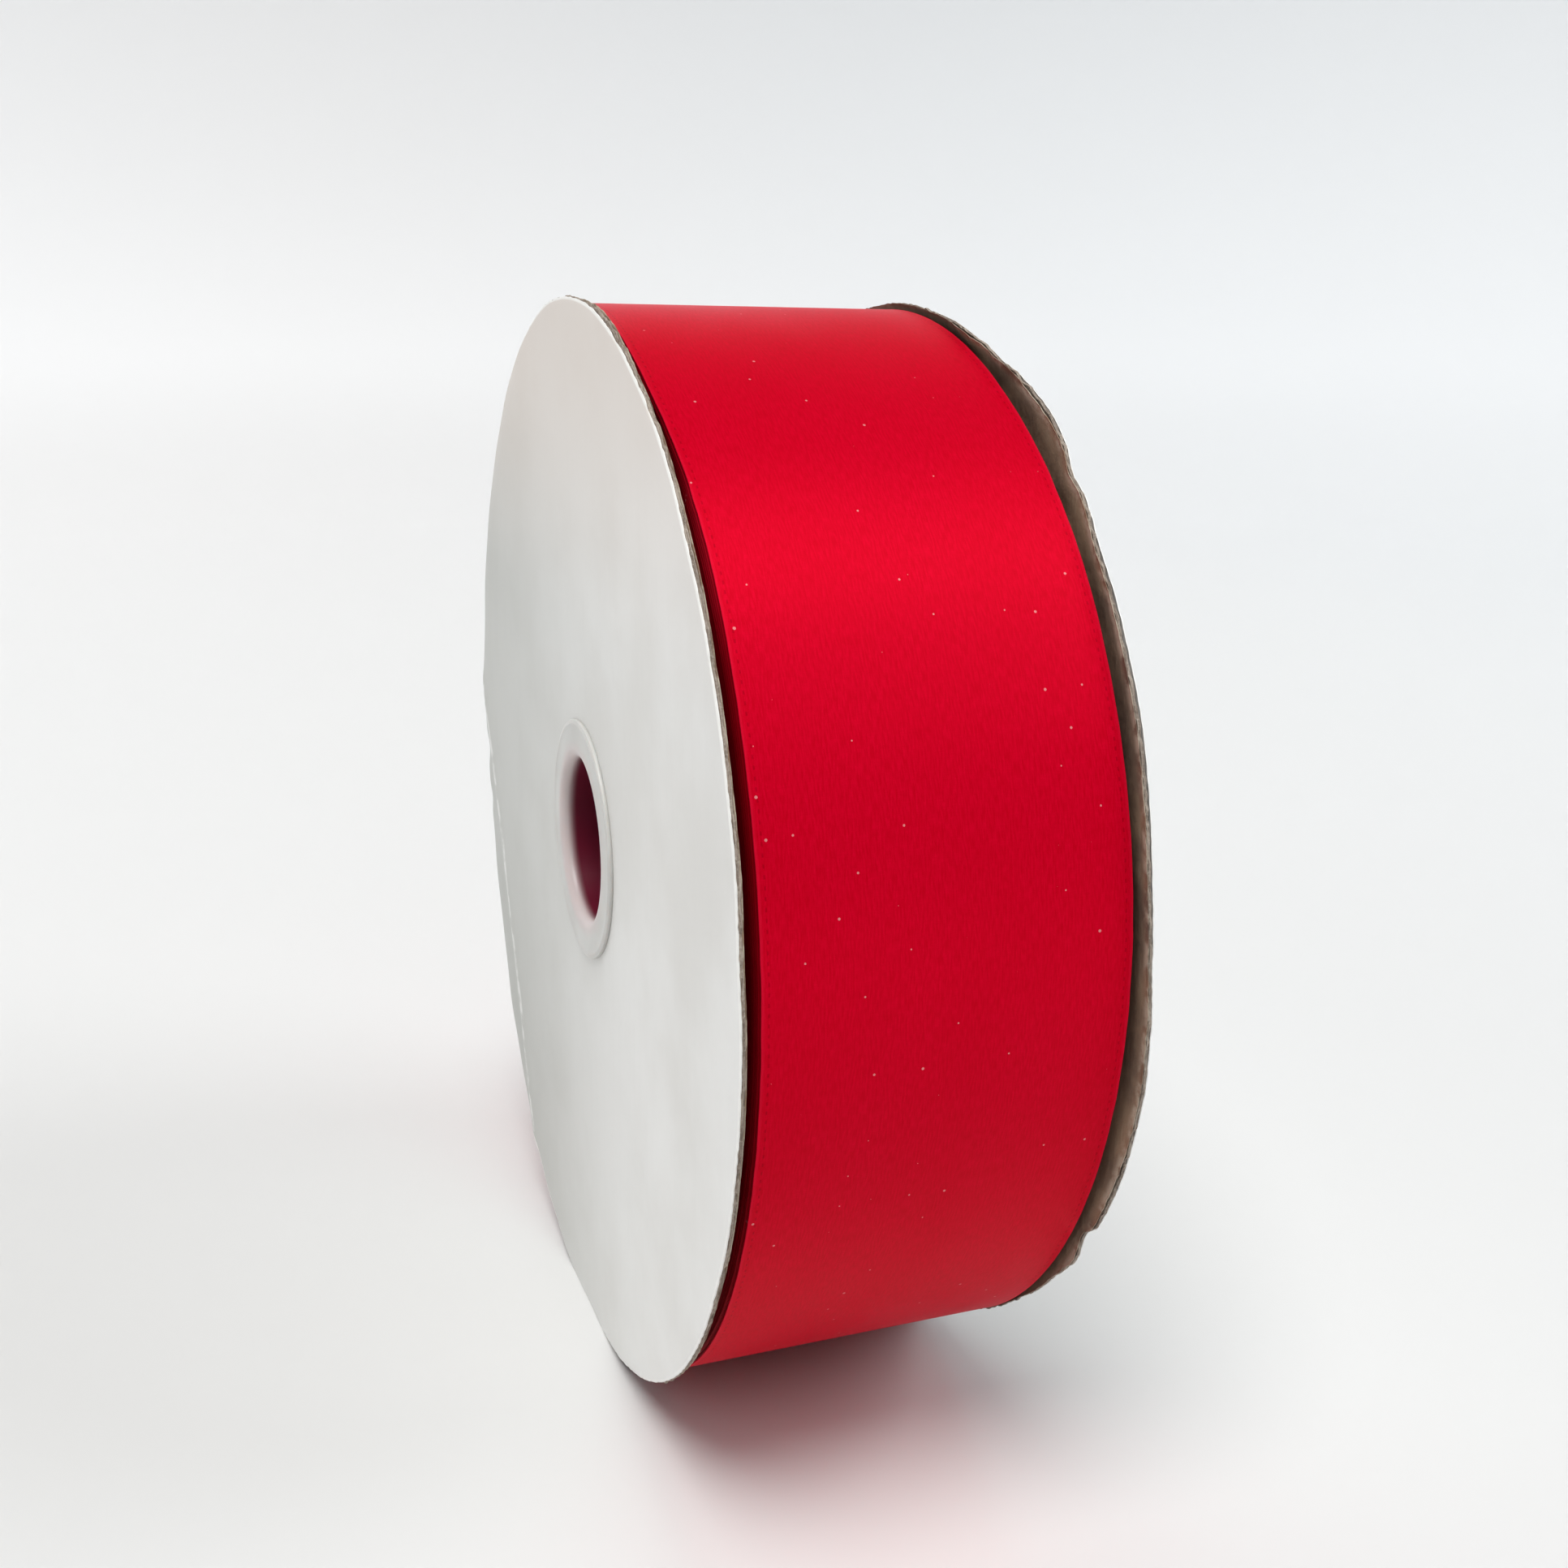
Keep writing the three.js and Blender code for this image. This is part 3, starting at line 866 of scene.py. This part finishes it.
@once
def tape_film():
    """Clear adhesive film: it shows the ribbon through it, with faint milky glue marks."""
    s = Shader("tape_film", IOR=1.45)
    place = s.place()
    marks = s.noise(place, 420.0, 4.0, 0.6)
    haze = s.noise(place, 90.0, 3.0, 0.5)
    s.set("Base Color", s.mix(haze, rgb(0.86, 0.84, 0.80), rgb(0.94, 0.93, 0.90)))
    s.set("Alpha", s.band(marks, 0.4, 0.75, 0.16, 0.42))
    s.set("Roughness", s.band(haze, 0.3, 0.7, 0.1, 0.24))
    s.set("Normal", s.bump(marks, 0.2, 0.0001))
    return s.material


def finish_piece(piece, node, body, material):
    """Rides a piece on its body, in place of its CAD node, with its material."""
    piece.data.materials.clear()
    piece.data.materials.append(material)
    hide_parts(node)
    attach(piece, body)


def dress_core_tape():
    """The core tape keeps its CAD shape: it is buried under the first turn of ribbon."""
    node = frame["nodes"]["core_tape"]
    for slot in node.material_slots:
        slot.material = tape_film()


# ---------------------------------------------------------------- stage, light and camera


def make_stage():
    """A pale round sweep: a flat floor that curves up into a wall at the back and stays flat elsewhere."""
    floor_z = -STAND_HEIGHT
    flat, cove, wall = 1100.0, 700.0, 1500.0
    segments = 96
    outline = [(r, floor_z) for r in (0.5, 150, 400, 800)]
    for a in np.linspace(0, math.pi / 2, 16):
        outline.append((flat + cove * math.sin(a), floor_z + cove * (1 - math.cos(a))))
    outline.append((flat + cove, floor_z + wall))
    angle = np.linspace(0, TURN, segments, endpoint=False)[:, None]
    radius = np.array([p[0] for p in outline])[None, :]
    away = np.abs(np.degrees(angle) - 180)
    rise = smooth((118 - away) / 36)
    height = floor_z + (np.array([p[1] for p in outline])[None, :] - floor_z) * rise
    points = np.stack([radius * np.cos(angle), radius * np.sin(angle), height], axis=-1).reshape(-1, 3)
    faces = grid_faces(segments, len(outline), True, False, flip=True)
    faces.append(tuple(i * len(outline) for i in range(segments)))
    sweep = mesh_object("sweep", points, faces, smooth_angle=60)
    sweep.data.materials.append(sweep_board())


def sweep_board():
    """Pale board: satin on the floor and matt up the wall, greyest far off on the floor, bluer towards +Y as
    a painted tint of the bluish light from that side.
    """
    s = Shader("sweep_board", Specular_IOR_Level=0.5)
    place = s.place()
    tone = s.noise(place, 1.4, 2.0, 0.4)
    x, y, z = s.parts(place)
    near_floor = s.mix(tone, rgb(0.745, 0.75, 0.75), rgb(0.765, 0.765, 0.755))
    floor_colour = s.mix(s.band(x, -1.3, -0.3, 1.0, 0.0), near_floor, rgb(0.71, 0.71, 0.71))
    wall_colour = s.mix(s.band(z, 0.15, 0.6), rgb(0.77, 0.775, 0.78), rgb(0.84, 0.845, 0.85))
    colour = s.mix(s.band(z, -0.078, 0.04), floor_colour, wall_colour)
    # Painted tint of the bluish light from the +Y side.
    s.set("Base Color", s.mix(s.band(y, 0.0, 0.9, 0.0, 0.5), colour, rgb(0.75, 0.79, 0.82)))
    s.set("Roughness", s.band(z, -0.078, 0.1, 0.3, 0.8))
    return s.material


def sun(name, towards, spread, strength, colour):
    """A far, soft light. towards points from the spool to the light, spread is its width in degrees."""
    light = bpy.data.lights.new(name, "SUN")
    light.energy = strength
    light.angle = math.radians(spread)
    light.color = colour
    lamp = bpy.data.objects.new(name, light)
    lamp.rotation_euler = (-Vector(towards)).to_track_quat("-Z", "Y").to_euler()
    bpy.context.scene.collection.objects.link(lamp)


def wall_wash():
    """A panel above and behind the spool, turned to the wall of the sweep."""
    light = bpy.data.lights.new("wall_wash", "AREA")
    light.shape = "RECTANGLE"
    light.size, light.size_y = 2.4, 0.9
    light.energy = 0.2
    lamp = bpy.data.objects.new("wall_wash", light)
    lamp.location = (-0.7, 0.4, 1.3)
    aim = Vector((-1.8, 0.75, 0.25))
    lamp.rotation_euler = (aim - lamp.location).to_track_quat("-Z", "Y").to_euler()
    bpy.context.scene.collection.objects.link(lamp)


def make_lights():
    sun("overhead", (0.28, -0.22, 0.92), 32, 2.45, (1.0, 0.985, 0.97))
    sun("window", (0.3, 0.75, 0.55), 38, 1.3, (0.95, 0.98, 1.0))
    sun("side_fill", (0.1, -0.97, 0.2), 60, 0.74, (0.97, 0.99, 1.0))
    wall_wash()
    world = bpy.data.worlds.new("soft_room")
    world.use_nodes = True
    backdrop = world.node_tree.nodes["Background"]
    backdrop.inputs["Color"].default_value = (0.95, 0.975, 1.0, 1.0)
    backdrop.inputs["Strength"].default_value = 0.13
    bpy.context.scene.world = world


def make_camera():
    data = bpy.data.cameras.new("camera")
    data.lens = CAMERA_LENS
    data.sensor_width = 36.0
    data.clip_start = 0.01
    camera = bpy.data.objects.new("camera", data)
    back = Vector(
        (
            math.sin(CAMERA_AZIMUTH) * math.cos(CAMERA_ELEVATION),
            -math.cos(CAMERA_AZIMUTH) * math.cos(CAMERA_ELEVATION),
            math.sin(CAMERA_ELEVATION),
        )
    )
    camera.location = back * CAMERA_DISTANCE
    level = (Vector(CAMERA_AIM) - camera.location).to_track_quat("-Z", "Y").to_matrix().to_4x4()
    rolled = level @ Matrix.Rotation(CAMERA_ROLL, 4, "Z")
    camera.rotation_euler = rolled.to_euler()
    bpy.context.scene.collection.objects.link(camera)
    bpy.context.scene.camera = camera


make_camera()
make_stage()
make_lights()
bpy.context.scene.view_settings.view_transform = "Standard"
make_flanges()
make_hub()
make_ribbon()
make_end_tape()
dress_core_tape()
